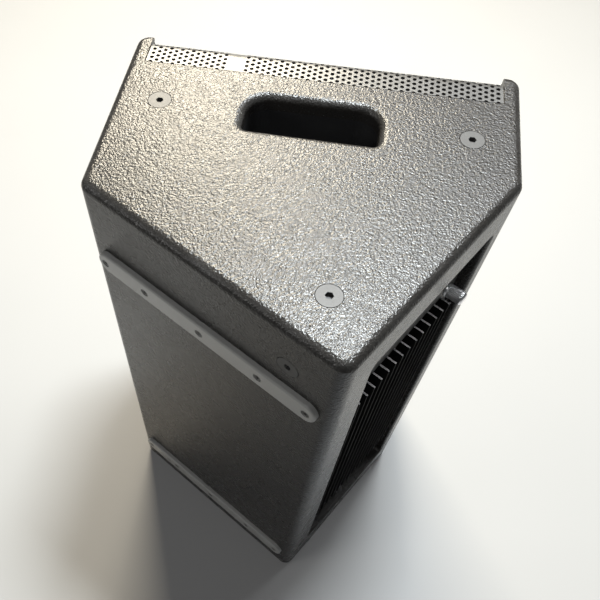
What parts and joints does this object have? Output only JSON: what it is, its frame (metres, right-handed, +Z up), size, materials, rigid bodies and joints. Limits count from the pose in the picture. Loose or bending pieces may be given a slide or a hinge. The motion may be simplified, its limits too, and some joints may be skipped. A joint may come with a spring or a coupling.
{
  "type": "stage monitor wedge",
  "caption": "Powered floor monitor wedge with wrapped grille, hand slot, skid rails and a finned amplifier recess, standing on one end.",
  "frame": {"origin": "middle of the bounding box at its base, with the cabinet standing on its pole-socket end", "axes": "+Z up along the cabinet's length, -Y out of the grille, +X towards the long side wall"},
  "size_m": [0.355, 0.3299, 0.58],
  "materials": {
    "cabinet_paint": "coarse textured black paint over birch ply",
    "baffle_paint": "matt black paint",
    "bare_ply": "bare ply",
    "wool": "loose polyester wadding",
    "foam": "open acoustic foam",
    "grille_steel": "powder coated perforated steel",
    "black_plastic": "moulded, fine grain",
    "rail_plastic": "moulded, satin",
    "black_screw": "black zinc",
    "zinc_steel": "bright zinc",
    "fly_screw_steel": "black oxide, satin",
    "pole_cast": "black powder coat",
    "basket_paint": "black crackle",
    "ferrite": "ground ferrite",
    "gasket": "cork rubber",
    "surround_cloth": "doped cloth",
    "cone_paper": "pressed paper pulp",
    "coil_copper": "enamelled winding",
    "amp_paint": "matt black powder coat",
    "sink_anodised": "black anodised",
    "board_laminate": "solder mask",
    "capacitor_sleeve": "shrink sleeve",
    "transistor_case": "moulded epoxy",
    "transformer_tape": "polyester tape",
    "nickel": "satin nickel",
    "contact_gold": "polished",
    "knob_aluminium": "turned, fine knurl",
    "button_plastic": "gloss",
    "rocker_plastic": "gloss",
    "light_lens": "clear tinted",
    "lead_rubber": "soft insulation"
  },
  "bodies": {
    "cabinet": {"amp_board": "board_laminate", "amp_ledge": "bare_ply", "amp_plate": "amp_paint", "baffle": "baffle_paint", "baffle_battens": "bare_ply", "board_pillars": "zinc_steel", "bottom_end_panel": "cabinet_paint", "capacitors": "capacitor_sleeve", "compression_driver": "basket_paint", "damping_wool": "wool", "floor_wall": "cabinet_paint", "fly_point_inserts": "zinc_steel", "fly_point_screws": "fly_screw_steel", "grille": "grille_steel", "grille_foam": "foam", "grille_screws": "black_screw", "handle_cup": "black_plastic", "heatsink": "sink_anodised", "horn": "black_plastic", "horn_and_cup_screws": "black_screw", "inlet_pins": "contact_gold", "level_pot": "zinc_steel", "long_side_wall": "cabinet_paint", "mains_inlet": "black_plastic", "mains_switch": "black_plastic", "mains_transformer": "transformer_tape", "mode_switch": "black_plastic", "output_transistors": "transistor_case", "pole_socket": "pole_cast", "port_tubes": "black_plastic", "rear_frame": "cabinet_paint", "short_side_wall": "cabinet_paint", "signal_lights": "light_lens", "skid_rail_lower": "rail_plastic", "skid_rail_screws": "black_screw", "skid_rail_upper": "rail_plastic", "small_screws": "black_screw", "top_end_panel": "cabinet_paint", "transformer_clamp": "zinc_steel", "woofer_back_plate": "zinc_steel", "woofer_basket": "basket_paint", "woofer_gasket": "gasket", "woofer_leads": "lead_rubber", "woofer_magnet": "ferrite", "woofer_screws": "black_screw", "woofer_spider": "surround_cloth", "woofer_surround": "surround_cloth", "woofer_terminals": "black_plastic", "woofer_top_plate": "zinc_steel", "xlr_input_insert": "black_plastic", "xlr_input_shell": "nickel", "xlr_output_pins": "contact_gold", "xlr_output_shell": "nickel"},
    "level_knob": {"level_knob": "knob_aluminium"},
    "mode_button": {"mode_button": "button_plastic"},
    "rocker": {"rocker": "rocker_plastic"},
    "latch_tab": {"latch_tab": "nickel"},
    "cone_assembly": {"woofer_cone": "cone_paper", "woofer_dust_cap": "cone_paper", "woofer_voice_coil": "coil_copper"}
  },
  "joints": [
    {"name": "level_turn", "type": "hinge", "parent": "cabinet", "child": "level_knob", "pos_m": [-0.14332, 0.00163, 0.476], "axis": [-0.8572, 0.515, 0], "range_deg": [-150, 150]},
    {"name": "mode_press", "type": "slide", "parent": "cabinet", "child": "mode_button", "axis": [0.8572, -0.515, 0], "range_m": [0, 0.0015], "stiffness_N_per_m": 400},
    {"name": "latch_press", "type": "slide", "parent": "cabinet", "child": "latch_tab", "axis": [0.8572, -0.515, 0], "range_m": [0, 0.0015], "stiffness_N_per_m": 400},
    {"name": "mains_rock", "type": "hinge", "parent": "cabinet", "child": "rocker", "pos_m": [-0.10526, 0.06575, 0.087], "axis": [-0.515, -0.8572, 0], "range_deg": [0, 18]},
    {"name": "cone_travel", "type": "slide", "parent": "cabinet", "child": "cone_assembly", "axis": [0, -1, 0], "range_m": [-0.005, 0.005], "stiffness_N_per_m": 2500}
  ]
}
